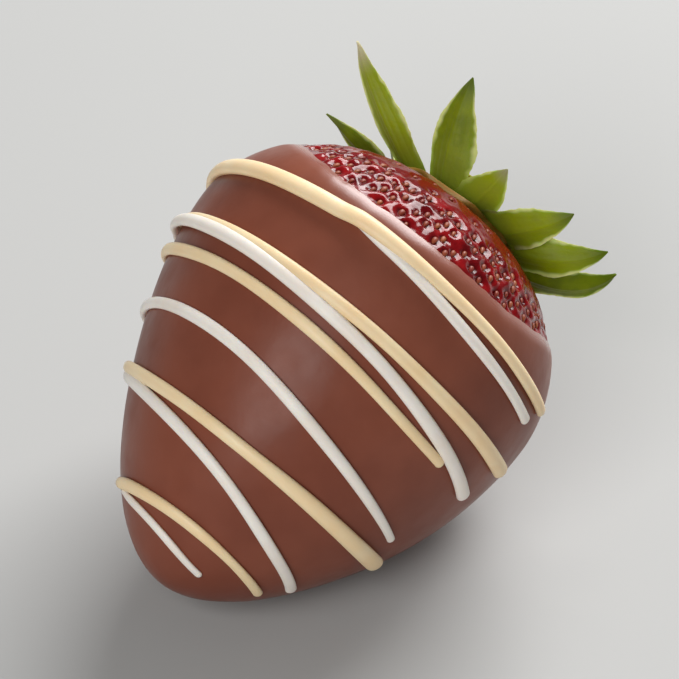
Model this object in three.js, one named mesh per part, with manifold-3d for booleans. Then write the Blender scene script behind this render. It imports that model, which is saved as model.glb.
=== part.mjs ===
// A strawberry dipped in milk chocolate and drizzled with ivory and yellow icing.
// Units are millimetres and +Z is up. The berry lies on a small flat of set chocolate, with its tip towards
// -Y and its leaves towards +Y. The origin is the middle of the bounding box's underside.
import * as THREE from "three";
import { mergeVertices } from "three/addons/utils/BufferGeometryUtils.js";
import Module from "manifold-3d";

const wasm = await Module();
wasm.setup();

// ---- Driving dimensions ----

// The outline of the dipped berry, as radius and height above the tip along its own axis
const LENGTH = 45; // tip to crest
const RADIUS = 19.4; // at the widest ring
const WIDEST_AT = 32; // height of that ring
const TIP_HANDLE = 8.5; // how blunt the tip is
const BELLY_HANDLE = 13; // how full the sides are below the widest ring
const SHOULDER_HANDLE = 6.5; // how full they are above it
const CREST_HANDLE = 6.5; // how flat the shoulder runs in to the crest
const CREST_RADIUS = 7; // ring on which the shoulder turns down into the dimple
const DIMPLE_DEPTH = 1.8;
const LOBE = 0.012; // share of the radius by which the sides swell and dip
const LOPSIDED = 0.035; // share of the radius by which the shoulders lean to one side
const LEANS_TO = THREE.MathUtils.degToRad(-70);

const TILT = THREE.MathUtils.degToRad(23); // of the axis, leaves up
const FOOT_DEPTH = 0.5; // cut off the underside, where the chocolate set flat

const COAT = 1.3; // chocolate wall
const EDGE = 0.5; // the same at its rim
const THINNING = 5; // distance below the rim over which it thins
const GAP = 0.3; // between neighbouring solids
const RIM_AT = 48.6; // distance of the rim from the tip, measured over the skin
const RIM_SLANT = 3.2; // the berry went in askew
const RIM_SAG = 1.3; // the rim also sags at two opposite sides
const RIM_LOWEST = THREE.MathUtils.degToRad(28);
const RIM_RIPPLE = 0.25;

const BEAD = { halfWidth: 0.69, proud: 0.8, sunk: 0.3, sides: 6, step: 2.8 };
const BEAD_HEAD = 0.16; // share of its length over which a bead swells from its first end
const BEAD_TAIL = THREE.MathUtils.degToRad(45); // turn over which its girth changes to its tail's
// Each bead of icing goes round the berry from one angle to another. It follows a parabola through its
// distances from the tip over the skin on the left flank, the upper side and the right flank, and sways to
// either side of it. Its girth is a share of the usual one. Head is what is left of that at its first end,
// and tail what is left past the angle at which it thins. Angle 0 is the upper side.
const BEADS_LEFT = THREE.MathUtils.degToRad(-45);
const BEADS_RIGHT = THREE.MathUtils.degToRad(95);
const BEAD_FIELDS = ["from", "to", "left", "upper", "right", "sway", "girth", "head", "thins", "tail"];
const BEADS = [
  [-80, 106, 41.7, 41.4, 42.1, 0, 1.26, 1, 12, 0.68], // yellow
  [8, 98, 45, 40.8, 39.9, 0, 0.82, 0.6, 50, 0.95], // ivory
  [-95, 104, 35.3, 32.7, 31.1, -0.1, 0.98, 0.8, 50, 1], // ivory
  [-66, 110, 35.7, 34, 35.1, -0.1, 1, 0.7, 50, 1.1], // yellow
  [-86, 82, 32.6, 30.4, 30.7, -0.25, 0.92, 0.75, 15, 0.8], // yellow
  [-92, 102, 27.1, 24.45, 22.8, -0.45, 0.88, 0.75, 60, 0.65], // ivory
  [-82, 116, 20.4, 18.15, 19.75, 0, 0.92, 0.75, 25, 1.4], // yellow
  [-88, 112, 19.35, 14.6, 12.5, -0.25, 0.88, 0.75, 50, 0.9], // ivory
  [-70, 108, 9.9, 8.85, 9.25, 0, 0.9, 0.7, 25, 0.75], // yellow
  [-55, 64, 8.7, 5.65, 6.25, -0.2, 0.64, 0.7, 10, 0.8], // ivory
].map((row) => Object.fromEntries(row.map((value, field) => [BEAD_FIELDS[field], value])));

const SEED = { halfLength: 0.8, halfWidth: 0.52, proud: 0.4, sunk: 0.25 };
const SEEDS = 112; // on the whole band, part of which the chocolate covers
const SEEDS_FROM = 45.2; // distance of the lowest seeds from the tip over the skin
const SEEDS_CLEAR_OF_RIM = 1.2;
const NECK = 8; // smoother flesh below the crest, where the seeds are smaller and further apart
const NECK_SEEDS = 30;
const NECK_SEEDS_CLEAR_OF_CREST = 1.5;
const NECK_SEED_SIZE = 0.75;

// Each sepal: angle round the axis, length, width, its rise from square-on at its root and its tip, the roll
// of its blade about its midrib, and how far its tip curls up, as a share of its length
const SEPALS = [
  { angle: -100, length: 14, width: 4.2, root: 16, tip: 52, roll: -12, curl: 0.05 },
  { angle: -72, length: 14, width: 3, root: 4, tip: 24, roll: 20, curl: -0.05 },
  { angle: -50, length: 17.5, width: 3.9, root: 20, tip: 36, roll: 36, curl: 0 },
  { angle: -8, length: 13.8, width: 4.8, root: 38, tip: 70, roll: 10, curl: 0 },
  { angle: 38, length: 9.4, width: 4.4, root: 18, tip: 52, roll: -12, curl: 0.04 },
  { angle: 70, length: 13.4, width: 4.8, root: 8, tip: 44, roll: -24, curl: 0.05 },
  { angle: 92, length: 15.3, width: 4.5, root: 4, tip: 42, roll: -38, curl: 0.08 },
  { angle: 119, length: 17.3, width: 4.6, root: 0, tip: 52, roll: -38, curl: 0.12 },
  { angle: 152, length: 13, width: 4.6, root: 10, tip: 40, roll: -8, curl: 0.06 },
  { angle: -172, length: 14, width: 3.4, root: 22, tip: 50, roll: 14, curl: -0.05 },
  { angle: -136, length: 13, width: 4.6, root: 8, tip: 34, roll: 10, curl: 0.08 },
];
const SEPAL_ELBOW = 0.62; // share of its length at which it turns from one rise to the other
const SEPAL_THICKNESS = 0.45;
const SEPAL_ROOT = 2.3; // distance of its root from the axis
const SEPAL_ROOT_DEPTH = 0.2; // and below the crest
const SEPAL_WIDEST = 0.4; // share of its length at which it is widest
const SEPAL_ROOT_WIDTH = 0.62; // shares of its width left at the root and at the tip
const SEPAL_TIP_WIDTH = 0.03;
const SEPAL_TIP_TAPER = 2.1; // how late it narrows towards the tip
const SEPAL_FOLD = 0.4; // rise of its edges over its midrib, as a share of its half width
const SEPAL_WAVE = 0.26; // height of the ripple along its edges
const SEPAL_ROWS = 8;
const SEPAL_COLUMNS = 4;

const HUB = { radius: 7.9, side: 0.95, dome: 0.5, segments: 20 };
const STEM = { radius: 1.15, flare: 1.1, length: 5.5, lean: 1.4, depth: 1.2, sides: 8 };

const COLOURS = {
  chocolate: { color: 0x6b3a2b, roughness: 0.42, metalness: 0 },
  flesh: { color: 0x8c0a0a, roughness: 0.2, metalness: 0 },
  leaf: { color: 0x66760f, roughness: 0.55, metalness: 0 },
};

// ---- The skin that every piece is placed on ----

const outline = new THREE.CurvePath();
outline.add(
  new THREE.CubicBezierCurve(
    new THREE.Vector2(0, 0),
    new THREE.Vector2(TIP_HANDLE, 0),
    new THREE.Vector2(RADIUS, WIDEST_AT - BELLY_HANDLE),
    new THREE.Vector2(RADIUS, WIDEST_AT),
  ),
);
outline.add(
  new THREE.CubicBezierCurve(
    new THREE.Vector2(RADIUS, WIDEST_AT),
    new THREE.Vector2(RADIUS, WIDEST_AT + SHOULDER_HANDLE),
    new THREE.Vector2(CREST_RADIUS + CREST_HANDLE, LENGTH),
    new THREE.Vector2(CREST_RADIUS, LENGTH),
  ),
);
outline.add(
  new THREE.CubicBezierCurve(
    new THREE.Vector2(CREST_RADIUS, LENGTH),
    new THREE.Vector2(CREST_RADIUS * 0.65, LENGTH),
    new THREE.Vector2(CREST_RADIUS * 0.35, LENGTH - DIMPLE_DEPTH),
    new THREE.Vector2(0, LENGTH - DIMPLE_DEPTH),
  ),
);
const OUTLINE_LENGTH = outline.getLength();
const TO_CREST = outline.getCurveLengths()[1];

// The share by which the berry swells or dips at an angle and a distance from the tip over the skin
function swell(angle, along) {
  const share = along / TO_CREST;
  const lobes = LOBE * Math.sin(Math.PI * share) * (Math.sin(3 * angle + 0.6) + 0.7 * Math.cos(2 * angle));
  const lean = LOPSIDED * THREE.MathUtils.smoothstep(share, 0.35, 0.75) * Math.cos(angle - LEANS_TO);
  return 1 + lobes + lean;
}

// The point `along` millimetres over the skin from the tip, lifted off it along its normal
function skin(along, angle, lift = 0) {
  const share = THREE.MathUtils.clamp(along / OUTLINE_LENGTH, 0, 1);
  const point = outline.getPoint(share);
  const tangent = outline.getTangent(share);
  const radius = Math.max(point.x + lift * tangent.y, 0) * swell(angle, along);
  const height = point.y - lift * tangent.x;
  return new THREE.Vector3(radius * Math.sin(angle), height, radius * Math.cos(angle));
}

// Distance of the chocolate's rim from the tip
function rimAt(angle) {
  const turn = angle - RIM_LOWEST;
  const dip = RIM_SLANT * Math.cos(turn) + RIM_SAG * Math.cos(2 * turn);
  return RIM_AT - dip + RIM_RIPPLE * Math.sin(5 * angle - 1.3);
}

function coatAt(along, angle) {
  return EDGE + (COAT - EDGE) * THREE.MathUtils.smoothstep(rimAt(angle) - along, 0, THINNING);
}

// ---- Helpers ----

const ON_AXIS = 0.01; // a profile point nearer than this to the axis lies on it

// A closed turned body whose profile may differ from one angle to the next
function turned(profileAt, segments) {
  const nominal = profileAt(0).map((p) => new THREE.Vector2(p.z, p.y));
  const geometry = new THREE.LatheGeometry(nominal, segments);
  const positions = geometry.getAttribute("position");
  for (let column = 0; column <= segments; column++) {
    const angle = (2 * Math.PI * column) / segments;
    profileAt(angle).forEach((p, row) => {
      const width = nominal[row].x < ON_AXIS ? 0 : 1;
      positions.setXYZ(column * nominal.length + row, width * p.x, p.y, width * p.z);
    });
  }
  return geometry;
}

// Moves every vertex of a geometry to where `place` puts it
function bend(geometry, place) {
  const positions = geometry.getAttribute("position");
  const vertex = new THREE.Vector3();
  for (let i = 0; i < positions.count; i++) {
    vertex.fromBufferAttribute(positions, i);
    positions.setXYZ(i, ...place(vertex));
  }
  return geometry;
}

function toManifold(geometry) {
  const bare = geometry.clone();
  bare.deleteAttribute("normal");
  bare.deleteAttribute("uv");
  const merged = mergeVertices(bare, 1e-4);
  return new wasm.Manifold(
    new wasm.Mesh({
      numProp: 3,
      vertProperties: merged.getAttribute("position").array,
      triVerts: new Uint32Array(merged.index.array),
    }),
  );
}

function toGeometry(manifold) {
  const mesh = manifold.getMesh();
  const geometry = new THREE.BufferGeometry();
  geometry.setAttribute("position", new THREE.BufferAttribute(mesh.vertProperties, 3));
  geometry.setIndex(new THREE.BufferAttribute(mesh.triVerts, 1));
  geometry.computeVertexNormals();
  return geometry;
}

function fused(base, additions) {
  return additions.reduce((whole, piece) => whole.add(toManifold(piece)), toManifold(base));
}

function steps(count, from, to) {
  return Array.from({ length: count + 1 }, (_, i) => from + ((to - from) * i) / count);
}

// ---- Chocolate coat with its icing ----

const COAT_SEGMENTS = 48;
const OUTSIDE_ROWS = 14;
const FULL_ROWS = 5; // under the coat where it is full, from the tip
const THINNING_ROWS = 2; // and where it thins, up to the rim

// Distances from the tip of the rows under the coat
function coveredRows(rim) {
  return [...steps(FULL_ROWS, 0, rim - THINNING), ...steps(THINNING_ROWS, rim - THINNING, rim).slice(1)];
}

function coatShell() {
  return turned((angle) => {
    const rim = rimAt(angle);
    const outside = steps(OUTSIDE_ROWS, 0, rim).map((along) => skin(along, angle));
    const lip = skin(rim + EDGE / 2, angle, -EDGE / 2);
    const inside = coveredRows(rim).map((along) => skin(along, angle, -coatAt(along, angle)));
    return [...outside, lip, ...inside.reverse()];
  }, COAT_SEGMENTS);
}

// Distance of a bead's middle from the tip
function beadAlong({ left, upper, right, sway }, angle) {
  const middle = (BEADS_LEFT + BEADS_RIGHT) / 2;
  const half = (BEADS_RIGHT - BEADS_LEFT) / 2;
  const t = (angle - middle) / half;
  const parabola = upper + ((right - left) / 2) * t + ((right + left) / 2 - upper) * t * t;
  return parabola + sway * Math.sin(Math.PI * t);
}

// A half-sunk bead of icing that swells from its first end and changes its girth towards the other
function bead(stroke) {
  const from = THREE.MathUtils.degToRad(stroke.from);
  const to = THREE.MathUtils.degToRad(stroke.to);
  const { x: radius } = outline.getPoint(stroke.upper / OUTLINE_LENGTH);
  const rope = new THREE.CylinderGeometry(1, 1, 1, BEAD.sides, Math.ceil(((to - from) * radius) / BEAD.step));
  return bend(rope, (v) => {
    const t = v.y + 0.5;
    const angle = THREE.MathUtils.lerp(from, to, t);
    const head = (1 - stroke.head) * (1 - THREE.MathUtils.smoothstep(t, 0, BEAD_HEAD));
    const thins = THREE.MathUtils.degToRad(stroke.thins);
    const tail = (1 - stroke.tail) * THREE.MathUtils.smoothstep(angle, thins, thins + BEAD_TAIL);
    const girth = stroke.girth * (1 - head - tail);
    const lift = v.z * (v.z > 0 ? BEAD.proud : BEAD.sunk) * girth;
    return skin(beadAlong(stroke, angle) - v.x * BEAD.halfWidth * girth, angle, lift);
  });
}

// The half space below the flat on which the tilted berry rests, in the berry's own frame
function belowFoot(geometry) {
  const tilted = geometry.clone().rotateX(TILT);
  tilted.computeBoundingBox();
  const floor = tilted.boundingBox.min.z + FOOT_DEPTH;
  const side = 4 * LENGTH;
  return new THREE.BoxGeometry(side, side, side).translate(0, 0, floor - side / 2).rotateX(-TILT);
}

function chocolateCoat() {
  const shell = coatShell();
  const dressed = fused(shell, BEADS.map(bead));
  return toGeometry(dressed.subtract(toManifold(belowFoot(shell))));
}

// ---- Strawberry ----

const FLESH_SEGMENTS = 40;
const BARE_ROWS = 8;

function fleshBody() {
  return turned((angle) => {
    const rim = rimAt(angle);
    const inset = (along) => skin(along, angle, -coatAt(along, angle) - GAP);
    return [...coveredRows(rim), ...steps(BARE_ROWS, rim, OUTLINE_LENGTH).slice(1)].map(inset);
  }, FLESH_SEGMENTS);
}

// Places of seeds on a golden-angle spiral between two distances from the tip
function spiral(count, low, high, size) {
  return Array.from({ length: count }, (_, index) => ({
    angle: (index * Math.PI * (3 - Math.sqrt(5))) % (2 * Math.PI),
    along: THREE.MathUtils.lerp(low, high, (index + 0.5) / count),
    size,
  }));
}

// Seeds cover the band above the chocolate, and thin out over the neck
function seedPlaces() {
  const toNeck = TO_CREST - NECK;
  const band = spiral(SEEDS, SEEDS_FROM, toNeck, 1);
  const neck = spiral(NECK_SEEDS, toNeck, TO_CREST - NECK_SEEDS_CLEAR_OF_CREST, NECK_SEED_SIZE);
  return [...band, ...neck].filter(({ angle, along }) => along > rimAt(angle) + SEEDS_CLEAR_OF_RIM);
}

function seed({ angle, along, size }) {
  const { x: radius } = outline.getPoint(along / OUTLINE_LENGTH);
  return bend(new THREE.IcosahedronGeometry(size, 0), (v) => {
    const lift = v.z * (v.z > 0 ? SEED.proud : SEED.sunk) - EDGE - GAP;
    const across = (v.y * SEED.halfWidth) / radius;
    return skin(along - v.x * SEED.halfLength, angle + across, lift);
  });
}

function strawberry() {
  return toGeometry(fused(fleshBody(), seedPlaces().map(seed)));
}

// ---- Calyx ----

// A closed thin body from two faces split into triangles alike
function leafSolid(rows, columns, pointOn) {
  const positions = [];
  for (const face of [1, -1]) {
    for (const along of steps(rows, 0, 1)) {
      for (const across of steps(columns, -1, 1)) positions.push(...pointOn(along, across, face));
    }
  }
  const perFace = (rows + 1) * (columns + 1);
  const at = (row, column) => row * (columns + 1) + column;
  const index = [];
  for (let row = 0; row < rows; row++) {
    for (let column = 0; column < columns; column++) {
      const [a, b] = [at(row, column), at(row, column + 1)];
      const [c, d] = [at(row + 1, column), at(row + 1, column + 1)];
      index.push(a, d, b, a, c, d);
      index.push(perFace + a, perFace + b, perFace + d, perFace + a, perFace + d, perFace + c);
    }
  }
  const edge = [];
  for (let column = 0; column < columns; column++) edge.push(at(0, column));
  for (let row = 0; row < rows; row++) edge.push(at(row, columns));
  for (let column = columns; column > 0; column--) edge.push(at(rows, column));
  for (let row = rows; row > 0; row--) edge.push(at(row, 0));
  edge.forEach((here, i) => {
    const next = edge[(i + 1) % edge.length];
    index.push(here, next, perFace + here, next, perFace + next, perFace + here);
  });
  const geometry = new THREE.BufferGeometry();
  geometry.setAttribute("position", new THREE.Float32BufferAttribute(positions, 3));
  geometry.setIndex(index);
  return geometry;
}

// Half width of a sepal as a share of its nominal one, from its root (0) to its tip (1)
function sepalShape(t) {
  const before = Math.max(1 - t / SEPAL_WIDEST, 0);
  const after = Math.max((t - SEPAL_WIDEST) / (1 - SEPAL_WIDEST), 0);
  return 1 - (1 - SEPAL_ROOT_WIDTH) * before ** 2 - (1 - SEPAL_TIP_WIDTH) * after ** SEPAL_TIP_TAPER;
}

function sepal({ angle, length, width, root, tip, roll, curl }, index) {
  const radians = THREE.MathUtils.degToRad;
  const heading = (rise) => new THREE.Vector2(Math.cos(radians(rise)), Math.sin(radians(rise)));
  const start = new THREE.Vector2(SEPAL_ROOT, LENGTH - SEPAL_ROOT_DEPTH);
  const elbow = start.clone().addScaledVector(heading(root), SEPAL_ELBOW * length);
  const straight = elbow.clone().addScaledVector(heading(tip), (1 - SEPAL_ELBOW) * length);
  const leaving = start.clone().lerp(elbow, 2 / 3);
  const arriving = straight.clone().lerp(elbow, 2 / 3);
  const end = straight.clone().addScaledVector(heading(tip + 90), curl * length);
  const midrib = new THREE.CubicBezierCurve(start, leaving, arriving, end);

  const up = new THREE.Vector3(0, 1, 0);
  const out = new THREE.Vector3(Math.sin(radians(angle)), 0, Math.cos(radians(angle)));
  const aside = new THREE.Vector3().crossVectors(up, out);
  const inPlane = (flat) => out.clone().multiplyScalar(flat.x).addScaledVector(up, flat.y);

  return leafSolid(SEPAL_ROWS, SEPAL_COLUMNS, (t, across, face) => {
    const forward = inPlane(midrib.getTangentAt(t));
    const turn = radians(roll) * Math.sin((Math.PI * t) / 2);
    const side = aside.clone().applyAxisAngle(forward, turn);
    const normal = new THREE.Vector3().crossVectors(forward, side);
    const half = (width / 2) * sepalShape(t);
    const wave = SEPAL_WAVE * Math.sin(9 * t + 2 * index + 1.5 * across) * t * Math.abs(across);
    const lift = SEPAL_FOLD * half * Math.abs(across) + wave + (face * SEPAL_THICKNESS) / 2;
    return inPlane(midrib.getPointAt(t)).addScaledVector(side, half * across).addScaledVector(normal, lift);
  });
}

// The hub is a collar over the dimple, in which the roots of the sepals and the cut stem are joined
function hub() {
  return turned((angle) => {
    const under = steps(3, OUTLINE_LENGTH, OUTLINE_LENGTH - HUB.radius);
    const bottom = under.map((along) => skin(along, angle, -EDGE));
    const rim = bottom.at(-1);
    const dome = steps(3, 0, Math.PI / 2).map((rise) => {
      const inwards = new THREE.Vector3(Math.cos(rise), 1, Math.cos(rise));
      return rim.clone().multiply(inwards).setY(rim.y + HUB.side + HUB.dome * Math.sin(rise));
    });
    return [...bottom, ...dome];
  }, HUB.segments);
}

function stem() {
  const stalk = new THREE.CylinderGeometry(STEM.radius * STEM.flare, STEM.radius, 1, STEM.sides, 4);
  return bend(stalk, (v) => {
    const t = v.y + 0.5;
    return new THREE.Vector3(v.x, LENGTH - STEM.depth + STEM.length * t, v.z + STEM.lean * t * t);
  });
}

function calyx() {
  return toGeometry(fused(hub(), [stem(), ...SEPALS.map(sepal)]));
}

// ---- The part ----

function node(name, geometry, finish) {
  const mesh = new THREE.Mesh(geometry, new THREE.MeshStandardMaterial(finish));
  mesh.name = name;
  return mesh;
}

const berry = new THREE.Group();
berry.add(
  node("chocolate_coat", chocolateCoat(), COLOURS.chocolate),
  node("strawberry", strawberry(), COLOURS.flesh),
  node("calyx", calyx(), COLOURS.leaf),
);
berry.rotation.x = TILT;

const part = new THREE.Group();
part.add(berry);
part.updateMatrixWorld(true);
const bounds = new THREE.Box3().setFromObject(part, true);
const middle = bounds.getCenter(new THREE.Vector3());
berry.position.set(-middle.x, -middle.y, -bounds.min.z);

export default part;
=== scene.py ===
# %% [markdown]
# # A strawberry dipped in milk chocolate
#
# One large strawberry, held by its leaves, dipped in milk chocolate up to its shoulder, laid on its side to
# set, and drizzled with ivory and yellow icing. This script dresses a plain solid model of it, the frame,
# which is already the right size and in the right place. Each piece is built as a fine mesh over the same
# outline, and then gets its own finish.
#
# Lengths are metres, +Z is up, and the berry points its tip towards -Y.

import math

import bmesh
import bpy
import numpy as np
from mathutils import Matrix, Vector, noise


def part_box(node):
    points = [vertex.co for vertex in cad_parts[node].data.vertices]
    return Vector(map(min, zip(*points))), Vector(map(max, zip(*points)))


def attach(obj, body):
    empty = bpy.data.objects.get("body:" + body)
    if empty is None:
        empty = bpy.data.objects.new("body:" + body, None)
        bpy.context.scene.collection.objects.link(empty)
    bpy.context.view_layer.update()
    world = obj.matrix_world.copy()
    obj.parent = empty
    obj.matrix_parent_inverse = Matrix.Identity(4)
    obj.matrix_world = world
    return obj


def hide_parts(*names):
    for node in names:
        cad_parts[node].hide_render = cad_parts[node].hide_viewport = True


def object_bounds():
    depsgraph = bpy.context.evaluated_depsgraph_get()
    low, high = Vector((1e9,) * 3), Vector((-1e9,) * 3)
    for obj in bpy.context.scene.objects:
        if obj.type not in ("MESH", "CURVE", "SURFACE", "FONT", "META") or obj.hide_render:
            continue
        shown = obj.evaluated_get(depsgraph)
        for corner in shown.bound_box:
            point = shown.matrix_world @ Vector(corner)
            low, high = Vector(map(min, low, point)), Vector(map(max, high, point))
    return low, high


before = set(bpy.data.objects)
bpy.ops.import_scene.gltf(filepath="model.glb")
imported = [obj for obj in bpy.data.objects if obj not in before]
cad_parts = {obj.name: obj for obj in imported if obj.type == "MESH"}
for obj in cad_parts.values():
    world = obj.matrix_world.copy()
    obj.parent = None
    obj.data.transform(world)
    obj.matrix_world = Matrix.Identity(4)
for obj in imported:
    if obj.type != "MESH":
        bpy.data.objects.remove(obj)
cad_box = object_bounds()
MM = 0.001
print("the frame measures", [round(side / MM, 1) for side in cad_box[1] - cad_box[0]], "mm")

# %% [markdown]
# ## The outline
#
# A strawberry is a turned form with soft lobes, so half of its side view is drawn first, as three Bezier
# curves: from the tip to the widest ring, over the shoulder to the crest, and down into the dimple that
# holds the leaves. A sphere pulled into shape by hand would also do, but then the coat, the icing, the
# seeds and the flesh would each have to be fitted by eye. With a formula for the skin, they all start on it.

# %% Sizes of the outline
LENGTH = 45 * MM  # tip to crest
RADIUS = 19.4 * MM  # at the widest ring
WIDEST_AT = 32 * MM  # height of that ring over the tip
TIP_HANDLE = 8.5 * MM
BELLY_HANDLE = 13 * MM
SHOULDER_HANDLE = 6.5 * MM
CREST_HANDLE = 6.5 * MM
CREST_RADIUS = 7 * MM
DIMPLE_DEPTH = 1.8 * MM
DIMPLE_HANDLES = (0.65, 0.35)  # shares of the crest's radius
print(f"the plain outline measures {LENGTH / MM:.0f} by {2 * RADIUS / MM:.1f} mm")


# %% Draw the outline
def bezier(*corners, steps=400):
    """Points on a cubic Bezier curve."""
    start, leaving, arriving, end = (np.array(corner) for corner in corners)
    t = np.linspace(0, 1, steps)[:, None]
    ends = (1 - t) ** 3 * start + t**3 * end
    return ends + 3 * (1 - t) ** 2 * t * leaving + 3 * (1 - t) * t**2 * arriving


def distances(points):
    """How far it is from the first of some points to each of them, along their line."""
    strides = np.linalg.norm(np.diff(points, axis=0), axis=1)
    return np.concatenate([[0], np.cumsum(strides)])


widest, crest = (RADIUS, WIDEST_AT), (CREST_RADIUS, LENGTH)
belly = bezier((0, 0), (TIP_HANDLE, 0), (RADIUS, WIDEST_AT - BELLY_HANDLE), widest)
shoulder = bezier(
    widest, (RADIUS, WIDEST_AT + SHOULDER_HANDLE), (CREST_RADIUS + CREST_HANDLE, LENGTH), crest
)
dimple = bezier(
    crest,
    (CREST_RADIUS * DIMPLE_HANDLES[0], LENGTH),
    (CREST_RADIUS * DIMPLE_HANDLES[1], LENGTH - DIMPLE_DEPTH),
    (0, LENGTH - DIMPLE_DEPTH),
)
outline_points = np.concatenate([belly, shoulder[1:], dimple[1:]])
outline_alongs = distances(outline_points)
outline_headings = np.gradient(outline_points, outline_alongs, axis=0)
OUTLINE_LENGTH = outline_alongs[-1]
TO_CREST = outline_alongs[len(belly) + len(shoulder) - 2]
print(f"from the tip it is {TO_CREST / MM:.1f} mm over the skin to the crest")


def outline(along):
    """Radius, height and heading of the outline, `along` metres over the skin from the tip."""
    columns = np.hstack([outline_points, outline_headings]).T
    return [np.interp(along, outline_alongs, column) for column in columns]


# %% [markdown]
# ## The skin
#
# No berry is round. Its sides swell and dip a little, and one shoulder stands out further than the other.
# `skin` gives the point at any distance from the tip and any angle round the axis, and can lift it off the
# surface along its normal. Everything else in this script is placed with it.

# %% Place a point on the skin
LOBE = 0.012  # share of the radius by which the sides swell and dip
SECOND_LOBE = 0.7  # height of a slower swelling, as a share of the first
LOPSIDED = 0.035  # share of the radius by which the shoulders lean to one side
LEANS_TO = math.radians(-70)
LEAN_GROWS = (0.35, 0.75)  # shares of the way to the crest between which the lean sets in


def smoothstep(value, low, high):
    """0 below `low`, 1 above `high` and a soft rise between them."""
    t = np.clip((value - low) / (high - low), 0, 1)
    return t * t * (3 - 2 * t)


def swell(angle, along):
    """The share by which the berry swells or dips there."""
    share = along / TO_CREST
    round_it = np.sin(3 * angle + 0.6) + SECOND_LOBE * np.cos(2 * angle)
    lean = LOPSIDED * smoothstep(share, *LEAN_GROWS) * np.cos(angle - LEANS_TO)
    return 1 + LOBE * np.sin(np.pi * share) * round_it + lean


def round_turn(count):
    """Evenly spaced angles, once round a cross-section."""
    return np.linspace(0, 2 * np.pi, count, endpoint=False)[None, :]


def skin(along, angle, lift=0.0):
    """Points over the skin, lifted off it along its normal. Angle 0 is the upper side."""
    radius, height, run, rise = outline(along)
    wide = np.maximum(radius + lift * rise, 0) * swell(angle, along)
    sides = np.broadcast_arrays(wide * np.sin(angle), height - lift * run, wide * np.cos(angle))
    return np.stack(sides, axis=-1)


print("the upper side of the crest lies at", np.round(skin(TO_CREST, 0) / MM, 1), "mm")

# %% [markdown]
# ## Where the chocolate ends
#
# The berry was dipped askew, so the rim of the chocolate slants round it: low on the upper side, where the
# bare band is widest, and high at the back. As the chocolate ran down before it set, it is thin at the rim
# and full a few millimetres below. Its outside rounds off towards the rim too, and that soft shoulder
# catches the light.

# %% Trace the rim
COAT = 1.3 * MM
EDGE = 0.5 * MM  # thickness of the coat at its rim
THINNING = 5 * MM
RIM_AT = 48.6 * MM
RIM_SLANT = 3.2 * MM
RIM_SAG = 1.3 * MM
RIM_LOWEST = math.radians(28)
RIM_RIPPLE = 0.25 * MM
RIM_FEATHER = 0.07 * MM  # small teeth where the edge of the chocolate broke away in lifting
FINE_TEETH = 0.7  # depth of the finer teeth, as a share of the coarser ones'
RIM_ROUNDING = 0.24 * MM  # how far the outside has come down at the rim
RIM_SHOULDER = 1.7 * MM  # distance from the rim over which it comes down


def rim_at(angle):
    """Distance from the tip to the rim, with 5 ripples, 17 coarse teeth and 41 fine ones round it."""
    turn = angle - RIM_LOWEST
    dip = RIM_SLANT * np.cos(turn) + RIM_SAG * np.cos(2 * turn)
    ripple = RIM_RIPPLE * np.sin(5 * angle - 1.3)
    teeth = np.sin(17 * angle + 2 * np.sin(4 * angle))
    teeth += FINE_TEETH * np.sin(41 * angle + 3 * np.sin(7 * angle))
    return RIM_AT - dip + ripple + RIM_FEATHER * teeth


def coat_at(along, angle):
    """Thickness of the coat."""
    return EDGE + (COAT - EDGE) * smoothstep(rim_at(angle) - along, 0, THINNING)


print(f"the rim lies {rim_at(RIM_LOWEST) / MM:.1f} mm from the tip at its lowest")

# %% [markdown]
# ## One way to make every body
#
# The coat, each bead of icing, each seed and each leaf is a stack of closed cross-sections. So one helper
# turns a grid of points, a row to each cross-section, into a closed body with a fan of triangles at both
# ends. Screw modifiers, curve bevels and metaballs could make some of them, but on a grid a mask such as
# the distance to the rim can be written straight onto its points.


# %% Build closed bodies
def closed_body(grid, **masks):
    """Vertices, faces and masks of a body whose cross-sections are the rows of `grid`."""
    rows, columns, _ = grid.shape
    corner = np.arange(rows * columns).reshape(rows, columns)
    here, above = corner[:-1], corner[1:]
    sides = np.stack([here, np.roll(here, -1, 1), np.roll(above, -1, 1), above], axis=-1)
    faces = sides.reshape(-1, 4).tolist()
    for pole, ring in ((corner.size, corner[0][::-1]), (corner.size + 1, corner[-1])):
        following = np.roll(ring, -1)
        faces += [[here, after, pole] for here, after in zip(ring.tolist(), following.tolist())]

    def with_poles(values):
        values = values.reshape(rows * columns, -1)
        poles = [end.mean(0, keepdims=True) for end in (values[:columns], values[-columns:])]
        return np.concatenate([values, *poles])

    full = {name: np.broadcast_to(mask, (rows, columns)) for name, mask in masks.items()}
    return with_poles(grid), faces, {name: with_poles(mask)[:, 0] for name, mask in full.items()}


def joined(bodies):
    """Several bodies as one."""
    start = 0
    faces = []
    for points, own_faces, _ in bodies:
        faces += [[start + corner for corner in face] for face in own_faces]
        start += len(points)
    points = np.concatenate([points for points, _, _ in bodies])
    masks = {name: np.concatenate([own[name] for _, _, own in bodies]) for name in bodies[0][2]}
    return points, faces, masks


# %% [markdown]
# ## The chocolate's own surface
#
# Melted chocolate doesn't quite level itself. It keeps slow waves, drawn out along the way it ran. They are
# under a tenth of a millimetre high, and show because they bend the highlights. They are in the mesh rather
# than in a bump map, so that the outline has them too.

# %% Wave the chocolate
WAVE_HEIGHT = 0.09 * MM
WAVE_ACROSS = 7 * MM
WAVE_ALONG = 15 * MM
FINE_WAVE = 0.3  # height of a second, finer wave, as a share of the first


def noise_over(spots):
    """Smooth noise of about -1 to 1 at every point of a grid, with a beat of about one unit."""
    values = [noise.noise(Vector(spot)) for spot in spots.reshape(-1, 3)]
    return np.array(values).reshape(spots.shape[:-1])


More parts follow.
